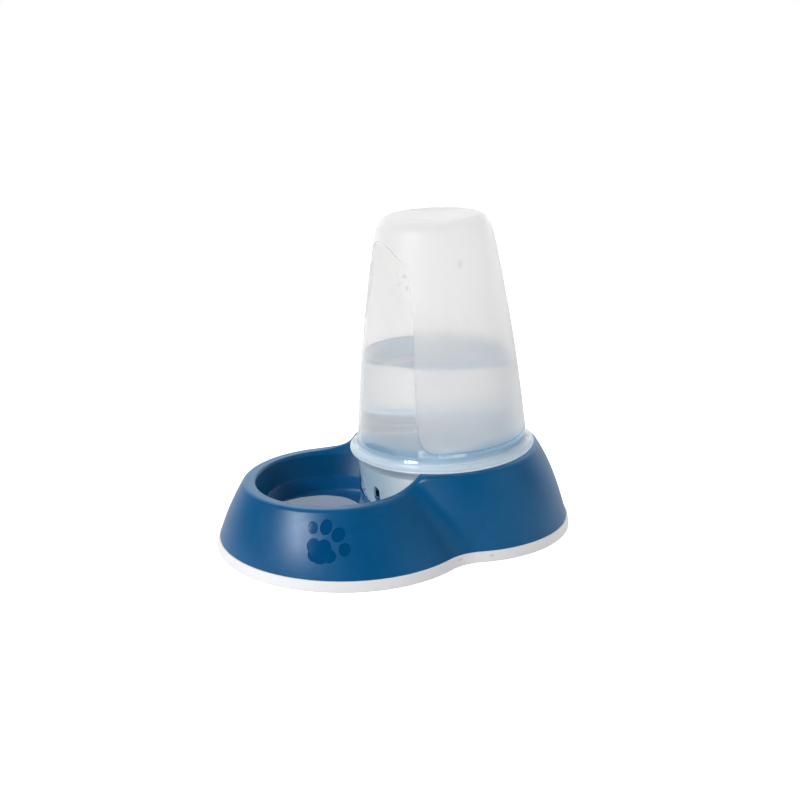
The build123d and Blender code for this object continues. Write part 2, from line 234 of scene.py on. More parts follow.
def paw_mask(t):
    x_dir = Vector((math.cos(PAW_DIR), math.sin(PAW_DIR), 0))
    z_dir = Vector((math.sin(PAW_DIR) * math.cos(PAW_TILT), -math.cos(PAW_DIR) * math.cos(PAW_TILT), math.sin(PAW_TILT)))
    y_dir = z_dir.cross(x_dir)
    parts = t.node("ShaderNodeSeparateXYZ", {0: t.coords}).outputs
    folded = t.node("ShaderNodeCombineXYZ", {0: t.math("ABSOLUTE", parts[0]), 1: parts[1], 2: parts[2]}).outputs[0]
    rel = t.vec("SUBTRACT", folded, tuple(c * MM for c in PAW_AT))
    u = t.vec("DOT_PRODUCT", rel, tuple(x_dir), out=1)
    v = t.vec("DOT_PRODUCT", rel, tuple(y_dir), out=1)
    w = t.vec("DOT_PRODUCT", rel, tuple(z_dir), out=1)
    flat = t.node("ShaderNodeCombineXYZ", {0: u, 1: v, 2: 0.0}).outputs[0]
    nearest = None
    for cx, cy, rx, ry, turn in TOES + PAD:
        q = t.node("ShaderNodeMapping", {"Vector": flat, "Location": (cx * MM, cy * MM, 0), "Rotation": (0, 0, math.radians(turn)),
                                         "Scale": (rx * MM, ry * MM, 1)}, vector_type="TEXTURE").outputs[0]
        size = t.vec("LENGTH", q, out=1)
        nearest = size if nearest is None else t.math("MINIMUM", nearest, size)
    inside = t.ramp(nearest, 0.93, 1.03, 1.0, 0.0)
    return t.math("MULTIPLY", inside, t.ramp(w, -0.02, -0.012))


def blue_plastic():
    """Satin moulded polypropylene: fine even texture, smoother in the sunk paw marks and inside the bowl."""
    t = Tree("blue_plastic")
    paw = paw_mask(t)
    broad = t.noise(22, 2.0, 0.5)
    cloud = t.noise(160, 3.0, 0.6)
    grain = t.noise(2600, 2.0, 0.6)
    edge = t.edge(0.0012, 0.80, 0.985)
    parts = t.node("ShaderNodeSeparateXYZ", {0: t.coords}).outputs
    # inside of the bowl, which is polished, and whose colour is darkened there as painted shade
    from_axis = t.vec("LENGTH", t.node("ShaderNodeCombineXYZ", {0: parts[0], 1: t.math("ADD", parts[1], 52.7 * MM), 2: 0.0}).outputs[0], out=1)
    reach = t.math("SUBTRACT", t.math("ADD", t.math("MULTIPLY", parts[2], 0.41), (59.1 - 0.41 * 50.8 + 0.9) * MM), from_axis)
    bowl = t.math("MULTIPLY", t.ramp(reach, 0.0, 0.0004), t.ramp(parts[2], 0.0499, 0.0485))
    color = t.mix(t.ramp(broad, 0.3, 0.7), BLUE_A, BLUE_B)
    color = t.mix(t.math("MULTIPLY", t.ramp(cloud, 0.35, 0.75), 0.35), color, BLUE_C)
    color = t.mix(t.math("MULTIPLY", grain, 0.10), color, lin(0, 66, 112))
    # darker inside the bowl: painted shade of its hollow
    color = t.mix(t.math("MULTIPLY", bowl, 0.55), color, lin(6, 62, 102))
    color = t.mix(t.math("MULTIPLY", paw, 0.75), color, BLUE_PAW)
    # lighter on its edges: painted highlight, with a little wear
    color = t.mix(t.math("MULTIPLY", edge, 0.30), color, BLUE_EDGE_HIGHLIGHT)
    rough = t.math("ADD", t.ramp(cloud, 0.25, 0.8, 0.345, 0.385), t.math("MULTIPLY", grain, 0.04))
    rough = t.math("SUBTRACT", rough, t.math("MULTIPLY", paw, 0.26))
    rough = t.math("SUBTRACT", rough, t.math("MULTIPLY", bowl, 0.02))
    height = t.math("MULTIPLY", grain, t.math("SUBTRACT", 1.0, t.math("MAXIMUM", t.math("MULTIPLY", paw, 0.85), t.math("MULTIPLY", bowl, 0.8))))
    normal = t.bump(height, 0.30, 0.00006, t.bump(broad, 0.35, 0.0004))
    # reflections tinted whiter where the surface faces the key lamp's glare and bluer elsewhere: painted highlight
    # colour
    turned = t.vec("DOT_PRODUCT", t.node("ShaderNodeNewGeometry").outputs["Normal"], (0.6125, -0.6785, 0.4065), out=1)
    tint = t.mix(t.ramp(turned, 0.86, 0.975), (0.34, 0.74, 1.0, 1.0), (0.84, 0.92, 1.0, 1.0))
    spec = t.math("SUBTRACT", 0.5, t.math("MULTIPLY", bowl, 0.22))
    return t.finish(t.principled(color=color, rough=rough, normal=normal, spec=spec, ior=1.49, tint=tint))


BLUE_A = lin(0, 82, 131)
BLUE_B = lin(0, 76, 124)
BLUE_C = lin(0, 86, 136)
BLUE_PAW = lin(0, 66, 114)
# colour of the painted highlight on edges, with a little wear
BLUE_EDGE_HIGHLIGHT = lin(30, 104, 152)


def white_rubber():
    """Soft white rim: fine matt skin, a faint flash line round it and a few scuffs."""
    t = Tree("white_rubber")
    broad = t.noise(14, 2.0, 0.5)
    cloud = t.noise(120, 4.0, 0.62)
    grain = t.noise(3400, 2.0, 0.6)
    scuff = t.math("MULTIPLY", t.ramp(t.noise(60, 5.0, 0.7, (1.0, 1.0, 6.0)), 0.63, 0.74), 0.5)
    z = t.node("ShaderNodeSeparateXYZ", {0: t.coords}).outputs[2]
    flash = t.ramp(t.math("ABSOLUTE", t.math("SUBTRACT", z, 3.4 * MM)), 0.00006, 0.0002, 1.0, 0.0)
    foot = t.ramp(z, 0.0, 0.0016, 1.0, 0.0)
    marks = None
    for x, y, zz, size in ((84.5, -64.5, 5.4, 1.5), (82.9, 8.2, 5.0, 1.1), (86.4, 32.6, 4.6, 1.0)):
        d = t.vec("LENGTH", t.vec("MULTIPLY", t.vec("SUBTRACT", t.coords, (x * MM, y * MM, zz * MM)), (1.0, 0.6, 1.6)), out=1)
        m = t.ramp(d, 0.3 * size * MM, 2.0 * size * MM, 1.0, 0.0)
        marks = m if marks is None else t.math("MAXIMUM", marks, m)
    color = t.mix(t.ramp(broad, 0.3, 0.7), lin(231, 231, 232), lin(227, 227, 229))
    color = t.mix(t.math("MULTIPLY", cloud, 0.35), color, lin(218, 219, 221))
    color = t.mix(scuff, color, lin(204, 204, 206))
    color = t.mix(t.math("MULTIPLY", marks, 0.55), color, lin(176, 178, 184))
    color = t.mix(t.math("MULTIPLY", foot, 0.35), color, lin(198, 198, 198))
    rough = t.math("ADD", t.ramp(cloud, 0.2, 0.8, 0.50, 0.62), t.math("MULTIPLY", scuff, 0.12))
    height = t.math("ADD", t.math("MULTIPLY", grain, 0.5), t.math("MULTIPLY", flash, 1.2))
    normal = t.bump(height, 0.35, 0.00008, t.bump(broad, 0.3, 0.0003))
    return t.finish(t.principled(color=color, rough=rough, normal=normal, spec=0.4, ior=1.49, sub=0.0))


def bell_plastic():
    """Translucent moulded plastic: a frosted panel round the back, a polished window towards the bowl."""
    t = Tree("clear_plastic_bell")
    inside = t.node("ShaderNodeAttribute", attribute_name="panel_depth", attribute_type="GEOMETRY").outputs["Fac"]
    edge = t.node("ShaderNodeAttribute", attribute_name="panel_edge_shade", attribute_type="GEOMETRY").outputs["Fac"]
    flow = t.noise(9, 3.0, 0.5, (1.0, 1.0, 0.35), 0.4)
    cloud = t.noise(150, 3.0, 0.6)
    grain = t.noise(2200, 2.0, 0.65)
    rise = t.vec("DOT_PRODUCT", t.vec("SUBTRACT", t.coords, tuple(SEAT * MM)), tuple(UP), out=1)
    # the frost starts at the panel's edge, but its milkiness fades in slowly round the top of the window
    above = t.ramp(rise, 0.0090, 0.0098)
    frost = t.math("MULTIPLY", t.ramp(inside, -0.25, 0.25), above)
    reach = t.ramp(rise, 0.094, 0.136, 0.5, 9.0)
    milk = t.math("MULTIPLY", t.ramp(t.math("DIVIDE", inside, reach), -0.5, 0.5), above)
    color = t.mix(milk, (0.816, 0.810, 0.802, 1), (0.812, 0.803, 0.796, 1))
    color = t.mix(t.math("MULTIPLY", t.ramp(flow, 0.35, 0.7), 0.35), color, (0.799, 0.792, 0.786, 1))
    # towards its foot the wall and its bead are painted with the blue of the base under them: painted light, standing
    # in for the base seen through the clear plastic
    color = t.mix(t.math("MULTIPLY", t.ramp(rise, 0.004, 0.009), t.ramp(rise, 0.009, 0.020, 0.85, 0.0)), color, (0.56, 0.69, 0.79, 1))
    color = t.mix(t.ramp(rise, 0.004, 0.009, 1.0, 0.0), color, (0.76, 0.83, 0.88, 1))
    color = t.mix(t.math("MULTIPLY", t.ramp(rise, 0.0045, 0.0085), t.ramp(rise, 0.0128, 0.0160, 0.45, 0.0)), color, (0.46, 0.64, 0.76, 1))
    # a dark line along the panel's edge near the foot: painted shade of the step between panel and window
    color = t.mix(t.math("MULTIPLY", edge, 0.90), color, (0.26, 0.36, 0.45, 1))
    rough = t.math("ADD", t.ramp(frost, 0.0, 1.0, 0.06, 0.36), t.math("MULTIPLY", t.math("MULTIPLY", frost, cloud), 0.08))
    rough = t.math("MAXIMUM", rough, t.math("MULTIPLY", t.ramp(rise, 0.050, 0.150), 0.26))
    inner = t.ramp(inside, -16.0, -14.0, 1.0, 0.0)
    rough = t.math("ADD", rough, t.math("MULTIPLY", inner, t.ramp(rise, 0.1575, 0.1630, 0.0, 0.20)))
    rough = t.math("ADD", rough, t.math("MULTIPLY", frost, t.ramp(rise, 0.148, 0.162, 0.0, 0.04)))
    color = t.mix(t.ramp(rise, 0.140, 0.166, 0.0, 0.6), color, (0.795, 0.786, 0.780, 1))
    bead = t.ramp(rise, 0.0005, 0.0080, 1.0, 0.0)
    rough = t.math("SUBTRACT", rough, t.math("MULTIPLY", bead, 0.03))
    facing = t.node("ShaderNodeLayerWeight", {"Blend": 0.5}).outputs["Facing"]
    clear = t.math("MULTIPLY", t.ramp(milk, 0.0, 1.0, CLEAR_WINDOW, CLEAR_FROST), t.ramp(facing, 0.60, 1.0, 1.0, 0.85))
    clear = t.math("MULTIPLY", clear, t.math("SUBTRACT", 1.0, t.math("MULTIPLY", bead, 0.24)))
    normal = t.bump(t.math("MULTIPLY", grain, frost), 0.25, 0.00005, t.bump(flow, 0.25, 0.0006))
    p = t.principled(color=color, rough=rough, normal=normal, clear=clear, ior=1.38, spec=t.ramp(rise, 0.012, 0.020, 0.32, 0.13))
    # the milky part of the plastic, lit from behind
    veil = t.node("ShaderNodeBsdfTranslucent", {"Color": color, "Normal": normal})
    # less of the milky veil on the back of the bell, which makes that side darker: painted shade
    back = t.ramp(t.vec("DOT_PRODUCT", t.coords, (0.0, 1.0, 0.0), out=1), 0.050, 0.085, 1.0, 0.40)
    share = t.math("MULTIPLY", t.ramp(milk, 0.0, 1.0, VEIL_WINDOW, VEIL_FROST), back)
    body = t.node("ShaderNodeMixShader", {0: share, 1: p.outputs[0], 2: veil.outputs[0]})
    return t.finish(let_light_in(t, body, 0.9))


CLEAR_WINDOW, CLEAR_FROST = 0.91, 0.86
VEIL_WINDOW, VEIL_FROST = 0.12, 0.28


def foot_plastic():
    """The same plastic, polished, where the foot doubles the wall."""
    t = Tree("clear_plastic_foot")
    flow = t.noise(12, 3.0, 0.5, (1.0, 1.0, 0.5), 0.3)
    cloud = t.noise(220, 3.0, 0.6)
    rise = t.vec("DOT_PRODUCT", t.vec("SUBTRACT", t.coords, tuple(SEAT * MM)), tuple(UP), out=1)
    side = t.node("ShaderNodeSeparateXYZ", {0: t.coords}).outputs
    out = t.vec("LENGTH", t.node("ShaderNodeCombineXYZ", {0: side[0], 1: t.math("SUBTRACT", side[1], 0.0395), 2: 0.0}).outputs[0], out=1)
    collar = t.ramp(rise, -0.004, 0.0090, 1.0, 0.0)
    deep = t.math("MULTIPLY", collar, t.ramp(out, 0.052, 0.0615, 1.0, 0.25))
    # the collar is painted the dark blue of the well under it and the skirt the blue of the base, lighter towards +X:
    # painted light, standing in for what is seen through the clear plastic
    inner = t.mix(deep, (0.80, 0.85, 0.88, 1), t.mix(t.ramp(flow, 0.3, 0.7), (0.16, 0.31, 0.43, 1), (0.14, 0.28, 0.40, 1)))
    skirt = t.mix(t.ramp(flow, 0.3, 0.7), (0.56, 0.71, 0.81, 1), (0.53, 0.68, 0.78, 1))
    skirt = t.mix(t.ramp(side[0], 0.010, 0.040), skirt, (0.88, 0.94, 0.96, 1))
    is_skirt = t.math("MULTIPLY", t.ramp(rise, -0.0085, -0.0065, 1.0, 0.0), t.ramp(out, 0.0590, 0.0600))
    color = t.mix(is_skirt, inner, skirt)
    rough = t.ramp(cloud, 0.2, 0.8, 0.10, 0.20)
    normal = t.bump(cloud, 0.2, 0.00005, t.bump(flow, 0.25, 0.0005))
    clear = t.math("SUBTRACT", t.ramp(flow, 0.2, 0.8, 0.80, 0.88), t.math("MULTIPLY", deep, 0.68))
    clear = t.math("SUBTRACT", clear, t.math("MULTIPLY", is_skirt, 0.22))
    p = t.principled(color=color, rough=rough, normal=normal, clear=clear, ior=1.45, spec=0.5)
    return t.finish(let_light_in(t, p, 0.9))


def water(name, high, low):
    t = Tree(name)
    slow = t.noise(18, 2.0, 0.5)
    color = t.mix(t.ramp(slow, 0.3, 0.7), high, low)
    rough = t.ramp(slow, 0.3, 0.7, 0.0, 0.004)
    normal = t.bump(slow, 0.05, 0.0006)
    p = t.principled(color=color, rough=rough, normal=normal, clear=1.0, ior=1.33, spec=0.5)
    return t.finish(let_light_in(t, p, 0.9, (0.98, 0.99, 1.0, 1.0)))


def white_plastic():
    """Glossy moulded plastic of the cap and the valve."""
    t = Tree("white_plastic")
    cloud = t.noise(260, 3.0, 0.6)
    grain = t.noise(2400, 2.0, 0.6)
    edge = t.edge(0.0004, 0.75, 0.98)
    color = t.mix(t.ramp(cloud, 0.3, 0.7), lin(238, 239, 240), lin(231, 233, 236))
    # lighter on its edges: painted highlight, with a little wear
    color = t.mix(t.math("MULTIPLY", edge, 0.4), color, lin(248, 248, 248))
    rough = t.math("ADD", t.ramp(cloud, 0.25, 0.8, 0.24, 0.34), t.math("MULTIPLY", edge, 0.08))
    normal = t.bump(grain, 0.15, 0.00003, t.bump(cloud, 0.15, 0.00012))
    return t.finish(t.principled(color=color, rough=rough, normal=normal, spec=0.5, ior=1.49))


def seal_rubber():
    t = Tree("seal_rubber")
    cloud = t.noise(300, 4.0, 0.65)
    grain = t.noise(3000, 2.0, 0.6)
    edge = t.edge(0.0003, 0.75, 0.98)
    color = t.mix(t.ramp(cloud, 0.3, 0.7), lin(96, 99, 103), lin(82, 85, 90))
    # lighter on its edges: painted highlight, with a little wear
    color = t.mix(t.math("MULTIPLY", edge, 0.35), color, lin(128, 131, 135))
    rough = t.ramp(cloud, 0.2, 0.8, 0.55, 0.70)
    normal = t.bump(grain, 0.3, 0.00004, t.bump(cloud, 0.2, 0.0001))
    return t.finish(t.principled(color=color, rough=rough, normal=normal, spec=0.35, ior=1.49))


def spring_steel():
    t = Tree("spring_steel")
    drawn = t.noise(1400, 2.0, 0.6, (1.0, 1.0, 0.2))
    cloud = t.noise(300, 3.0, 0.6)
    color = t.mix(t.ramp(cloud, 0.3, 0.7), (0.62, 0.62, 0.61, 1), (0.50, 0.50, 0.50, 1))
    rough = t.math("ADD", t.ramp(drawn, 0.2, 0.8, 0.20, 0.36), 0.0)
    normal = t.bump(drawn, 0.25, 0.00002)
    return t.finish(t.principled(color=color, rough=rough, normal=normal, metal=1.0))


def dress(name, material):
    ob = nodes[name]
    ob.data.materials.clear()
    ob.data.materials.append(material)
    for poly in ob.data.polygons:
        poly.material_index = 0


BELL, FOOT = bell_plastic(), foot_plastic()
WATER = water("water_reservoir", (0.880, 0.885, 0.890, 1), (0.865, 0.872, 0.880, 1))
BOWL_WATER = water("water_bowl", (0.84, 0.87, 0.91, 1), (0.82, 0.86, 0.90, 1))
CAP, SEAL = white_plastic(), seal_rubber()
dress("base_housing", blue_plastic())
dress("anti_slip_rim", white_rubber())
dress("reservoir_foot", FOOT)
for name in ("filler_cap", "valve_cage", "valve_stem"):
    dress(name, CAP)
for name in ("cap_gasket", "valve_seal"):
    dress(name, SEAL)
STEEL = spring_steel()
dress("valve_spring", STEEL)


# ---------------------------------------------------------------- reservoir bell
# The wall with its frosted panel standing a little proud of the polished window, and of the clear band under it.
SINK = 0.35
PANEL_FOOT = 12.8
# edge of the window: degrees from the middle of it, height
WINDOW = [(56.5, 12.8), (53.6, 13.7), (51.4, 15.2), (49.9, 17.2), (48.6, 19.8), (47.6, 23.0), (46.7, 27.5), (46.1, 34.0),
          (45.5, 45.0), (44.5, 76.0), (43.5, 107.0), (42.2, 118.0), (40.5, 130.0), (38.6, 138.5), (36.4, 143.8), (33.0, 147.8),
          (28.0, 151.4), (21.0, 155.4), (13.0, 158.9), (6.0, 160.6), (0.0, 161.0)]


def window_edge():
    """The edge as close points: arc along the wall, height."""
    s = np.array([p[1] for p in WINDOW])
    a = np.array([p[0] for p in WINDOW])
    run = np.concatenate([[0], np.cumsum(np.hypot(np.diff(np.radians(a) * wall_r(s)), np.diff(s)))])
    fine = np.linspace(0, run[-1], 700)
    # two passes of averaging take the corners off the straight pieces
    af, sf = np.interp(fine, run, a), np.interp(fine, run, s)
    kernel = np.ones(21) / 21
    for _ in range(2):
        pad = 10
        af2 = np.convolve(np.concatenate([2 * af[0] - af[pad:0:-1], af, -af[-2:-pad - 2:-1]]), kernel, "valid")
        sf2 = np.convolve(np.concatenate([2 * sf[0] - sf[pad:0:-1], sf, sf[-2:-pad - 2:-1]]), kernel, "valid")
        af, sf = af2, sf2
    return af, sf


EDGE_A, EDGE_S = window_edge()


def panel_distance(a, s):
    """Distance in millimetres from the panel's edge, positive on the panel."""
    a = np.abs(np.degrees(a))
    shape = a.shape
    a, s = a.ravel(), s.ravel()
    x = np.radians(a) * wall_r(s)
    ex, es = np.radians(EDGE_A) * wall_r(EDGE_S), EDGE_S
    d = np.full(a.shape, 1e9)
    for i in range(0, len(ex), 2):
        d = np.minimum(d, np.hypot(x - ex[i], s - es[i]))
    d = np.where(a > EDGE_A[0], np.minimum(d, np.abs(s - EDGE_S[0])), d)
    order = np.argsort(EDGE_S)
    half = np.interp(s, EDGE_S[order], EDGE_A[order])
    inside = (s > EDGE_S[0]) & ((a > half) | (s > EDGE_S.max()))
    return np.where(inside, d, -d).reshape(shape)


def steps(*runs):
    """Values from run to run: (start, end, step) each."""
    out = []
    for lo, hi, step in runs:
        n = max(1, int(round(abs(hi - lo) / step)))
        out += [lo + (hi - lo) * i / n for i in range(n)]
    return out + [runs[-1][1]]


def bell():
    half = steps((0, 35, 1.25), (35, 58, 0.4), (58, 64, 0.75), (64, 180, 2.9))
    a = np.radians([-v for v in half[:0:-1]][1:] + half)
    outer = [(67.4, 0.05), (69.0, 0.05), (70.3, 0.05), (70.62, 0.2), (70.7, 0.5)]
    outer += bezier([(70.6, 0.9), (70.5, 1.4), (69.9, 1.5), (69.0, 2.1)], 5).tolist()
    outer += bezier([(69.0, 2.1), (66.6, 4.0), (65.0, 7.2), (wall_r(9.5), 9.5)], 14, False).tolist()
    outer += [(wall_r(s), s) for s in steps((10.0, 11.6, 0.5), (11.6, 14.2, 0.17), (14.2, 20, 0.45), (20, 32, 1.5), (32, 125, 4.5),
                                            (125, 142, 1.6), (142, 156.6, 0.9))]
    outer += bezier([(wall_r(157), 157), (wall_r(165.5), 166.0), (40.5, 176.3), (31, 176.3)], 26).tolist()
    outer += [(r, 175.6 + 0.7 * float(smooth((r - 18) / 13))) for r in (29.5, 27.8, 26, 24, 22, 20, 18, 15, 11, 7, 4, 2, 0.8)]
    inner = [(66.95, 0.42), (66.5, 0.8)]
    inner += bezier([(66.5, 0.8), (65.0, 2.2), (wall_r(9.5) - RES_T + 0.2, 5.8), (wall_r(9.5) - RES_T, 9.5)], 8, False).tolist()
    inner += [(wall_r(s) - RES_T, s) for s in steps((14, 157, 9))]
    inner += bezier([(wall_r(157) - RES_T, 157), (wall_r(165) - RES_T, 165.2), (39.4, 174.7), (31, 174.7)], 12, False).tolist()
    inner += [(27, 174.45), (22, 174.1), (15, 174.05), (8, 174.0), (3, 174.0)]
    r, s = np.array(outer).T
    aa, ss = np.meshgrid(a, s)
    rr = np.repeat(r[:, None], len(a), 1)
    d = panel_distance(aa, ss)
    on = smooth(d / 0.7 + 0.5)
    drop = SINK * smooth((ss - 4.5) / 5.0) * (1 - on) * (1 - smooth((ss - 84) / 48))
    low = smooth((ss - 8.5) / 3.0)
    rings = at(rr - drop, aa, ss)
    depth = np.clip(d, -12.0, 12.0)                     # how far inside the frosted panel, in mm
    # where the dark line of painted shade runs along the panel's edge, low on the wall
    line = np.exp(-((d + 0.1) / 0.55) ** 2) * low * (1 - 0.72 * smooth((ss - 20) / 18)) * (1 - smooth((ss - 80) / 35))
    ri, si = np.array(inner[::-1]).T
    ai, sii = np.meshgrid(a, si)
    rings_in = at(np.repeat(ri[:, None], len(a), 1), ai, sii)
    # one closed skin: up the outside to the top, and down the inside to the foot
    cols = len(a)
    rows_out, rows_in = len(r), len(ri)
    points = np.concatenate([rings.reshape(-1, 3), rings_in.reshape(-1, 3), at([0.0, 0.0], [0.0, 0.0], [175.6, 174.0])])
    j = np.arange(cols)
    k = (j + 1) % cols
    faces = []
    for i in range(rows_out - 1):
        p, q = i * cols, (i + 1) * cols
        faces += np.stack([p + j, p + k, q + k, q + j], 1).tolist()
    base = rows_out * cols
    for i in range(rows_in - 1):
        p, q = base + i * cols, base + (i + 1) * cols
        faces += np.stack([p + j, p + k, q + k, q + j], 1).tolist()
    last, first = base + (rows_in - 1) * cols, 0
    faces += np.stack([last + j, last + k, first + k, first + j], 1).tolist()
    top_out, top_in = base + rows_in * cols, base + rows_in * cols + 1
    p = (rows_out - 1) * cols
    faces += [[p + int(u), p + int(v), top_out] for u, v in zip(j, k)]
    faces += [[base + int(v), base + int(u), top_in] for u, v in zip(j, k)]
    me = bpy.data.meshes.new("reservoir_wall")
    me.from_pydata((points * MM).tolist(), [], faces)
    me.validate()
    me.polygons.foreach_set("use_smooth", [True] * len(me.polygons))
    values = np.full(len(points), -20.0, np.float32)
    values[: depth.size] = depth.ravel()
    values[-2] = 12.0                                   # the middle of the top, outside
    me.attributes.new("panel_depth", "FLOAT", "POINT").data.foreach_set("value", values)
    values = np.zeros(len(points), np.float32)
    values[: line.size] = line.ravel()
    me.attributes.new("panel_edge_shade", "FLOAT", "POINT").data.foreach_set("value", values)
    me.update()
    ob = bpy.data.objects.new("reservoir_wall", me)
    scene.collection.objects.link(ob)
    outward(ob)
    me.materials.append(BELL)
    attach(ob, "reservoir")
    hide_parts("reservoir_bell")
    return ob


bell()


# ---------------------------------------------------------------- water in the reservoir
def reservoir_water():
    cols = 144
    a = np.linspace(-math.pi, math.pi, cols + 1)[:-1]
    gap = 0.12
    rise, reach = 0.5, 0.9
    # foot of the water: just under the skin of the sloping floor and the collar, as there is no air between them
    profile = [(23.1, -23.9), (23.1, -16.0), (23.1, -9.4), (24.6, -8.2), (34.0, -7.16), (46.0, -5.96), (56.0, -4.96),
               (60.0, -4.5), (60.9, -4.0), (61.6, -0.6), (62.45, 2.2), (62.75, 8.6), (62.75, 9.3)]
    rings = [at(r, a, s) for r, s in profile]
    inner = lambda s: wall_r(s) - RES_T - gap
    s_top = np.full(cols, 70.0)
    for _ in range(30):
        s_top = (WATER_Z + rise - SEAT[2] + inner(s_top) * np.cos(a) * math.sin(LEAN)) / math.cos(LEAN)
    for f in np.linspace(0, 1, 15):
        s = 9.9 + (s_top - 9.9) * f
        rings.append(at(inner(s), a, s))
    edge = rings[-1]
    # the water's face: level, and drawn up a little where it meets the wall
    for _ in range(1):
        centre = np.array([0.0, SEAT[1] - (WATER_Z - SEAT[2]) * math.tan(LEAN), WATER_Z])
    span = np.hypot(edge[:, 0] - centre[0], edge[:, 1] - centre[1])
    for d in (0.25, 0.6, 1.1, 1.8, 2.8, 4.2, 6.5, 10, 16, 24, 33, 42, 49):
        q = 1 - d / span
        ring = np.empty_like(edge)
        ring[:, 0] = centre[0] + (edge[:, 0] - centre[0]) * q
        ring[:, 1] = centre[1] + (edge[:, 1] - centre[1]) * q
        ring[:, 2] = WATER_Z + rise * math.exp(-d / reach)
        rings.append(ring)
    ob = grid_mesh("reservoir_water", rings, bottom=at(0.0, 0.0, -23.9), top=centre)
    outward(ob)
    ob.data.materials.append(WATER)
    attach(ob, "reservoir")
    return ob


reservoir_water()


# ---------------------------------------------------------------- drops inside the reservoir
def drops():
    """Drops that hang on the inside of the wall: angle, height, half width, how far each stretches down."""
    spots = [(-31, 18.5, 1.0, 1.2), (-27.5, 16.2, 0.75, 1.1), (-25, 20.8, 0.6, 1.1), (-34, 15.0, 0.7, 1.3), (-22, 17.4, 0.5, 1.0),
             (84, 146, 1.9, 1.15), (91, 133, 1.2, 1.1), (86, 107, 1.5, 1.2), (34, 139, 1.1, 1.5), (29, 133, 0.8, 1.3),
             (26, 141, 0.7, 1.2), (37, 131, 0.9, 1.8), (22, 128, 0.6, 1.1), (31, 122, 0.8, 1.6), (15, 137, 0.7, 1.2),
             (-12, 131, 0.9, 1.3), (-20, 141, 0.8, 1.2), (-35, 126, 0.7, 1.4), (118, 121, 1.0, 1.3), (-97, 128, 1.0, 1.3),
             (-140, 139, 1.2, 1.2), (160, 126, 0.9, 1.3), (52, 118, 0.8, 1.3), (-64, 136, 1.0, 1.2)]
    verts, faces = [], []
    for angle, s, size, tail in spots:
        a0 = math.radians(angle)
        below = s < 80
        wall = wall_r(s) - (SINK if abs(angle) < 42 and below else 0) if below else wall_r(s) - RES_T
        side = 1.0 if below else -1.0     # the low ones have splashed on the outside
        across, rings = 14, 5
        start = len(verts)
        for i in range(rings):
            f = i / (rings - 1) * math.pi / 2
            for j in range(across):
                g = 2 * math.pi * j / across
                dx = math.cos(g) * math.cos(f) * size
                ds = math.sin(g) * math.cos(f) * size
                if ds < 0:
                    ds *= tail
                    dx *= 1 - 0.12 * (-ds / size)
                h = math.sin(f) * size * 0.55 - 0.04
                if i == rings - 1:
                    continue
                r = (wall_r(s + ds) - (wall_r(s) - wall)) + side * h
                verts.append(at(r, a0 + dx / wall, s + ds))
        tip = len(verts)
        verts.append(at(wall + side * (size * 0.55 - 0.04), a0, s - 0.1 * size))
        foot = len(verts)
        verts.append(at(wall - side * 0.10, a0, s))
        for i in range(rings - 2):
            for j in range(across):
                p, q = start + i * across + j, start + i * across + (j + 1) % across
                faces.append((p, q, q + across, p + across))
        for j in range(across):
            p = start + (rings - 2) * across
            faces.append((p + j, p + (j + 1) % across, tip))
            faces.append((start + (j + 1) % across, start + j, foot))
    me = bpy.data.meshes.new("reservoir_drops")
    me.from_pydata((np.array(verts) * MM).tolist(), [], faces)
    me.validate()
    me.polygons.foreach_set("use_smooth", [True] * len(me.polygons))
    ob = bpy.data.objects.new("reservoir_drops", me)
    scene.collection.objects.link(ob)
    outward(ob)
    me.materials.append(WATER)
    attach(ob, "reservoir")


drops()


# ---------------------------------------------------------------- water in the bowl
def bowl_r(z):
    """Inside radius of the bowl at height z, with the rounded corner of its floor."""
    if z < 15.83:
        return 34.58 + math.sqrt(max(0.0, 121 - (20 - z) ** 2))
    return 59.1 - 0.41 * (50.8 - z)


def skirt_circle(z):
    """Middle and radius of the reservoir's lower skirt at height z."""
    s = (z - SEAT[2]) / math.cos(LEAN)
    return SEAT[1] - s * math.sin(LEAN), 65.4 - 3.0 * (-0.6 - s) / 48.7


def bowl_water():
    cols = 160
    a = np.linspace(-math.pi, math.pi, cols + 1)[:-1]
    centre_y = -52.7
    gap = -0.35              # its sides and foot lie just under the bowl's skin, as there is no air between them

    def reach(z):
        ring = np.full(cols, bowl_r(z) - gap)
        cy, cr = skirt_circle(z)
        cr -= 0.35           # and it wets the skirt
        d = cy - centre_y
        for i, g in enumerate(a):
            c = math.cos(g)          # 1 towards the reservoir
            disc = cr * cr - (d * math.sin(g)) ** 2
            if c > 0 and disc > 0:
                hit = d * c - math.sqrt(disc)
                ring[i] = min(ring[i], hit)
        return ring

    def ring_at(rad, z):
        return np.stack([rad * np.sin(a), centre_y + rad * np.cos(a), np.broadcast_to(z, a.shape)], 1)

    rise = 0.9
    rings = []
    low = reach(8.8)
    for q in (0.15, 0.4, 0.65, 0.85):
        rings.append(ring_at(low * q, 8.65))
    for z in (8.8, 9.1, 9.7, 10.5, 11.7, 13.3, 15.0, 17.5, 21, 25, 29, BOWL_WATER_Z - 0.9, BOWL_WATER_Z, BOWL_WATER_Z + rise):
        rings.append(ring_at(reach(z), z))
    edge = reach(BOWL_WATER_Z + rise)
    for d in (0.25, 0.6, 1.1, 1.8, 2.8, 4.2, 7, 12, 20):
        rings.append(ring_at(np.maximum(edge - d, edge * 0.12), BOWL_WATER_Z + rise * math.exp(-d / 1.2)))
    rings.append(ring_at(edge * 0.08, BOWL_WATER_Z))
    ob = grid_mesh("bowl_water", rings, bottom=(0, centre_y, 8.65), top=(0, centre_y, BOWL_WATER_Z))
    outward(ob)
    ob.data.materials.append(BOWL_WATER)
    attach(ob, "base")


bowl_water()


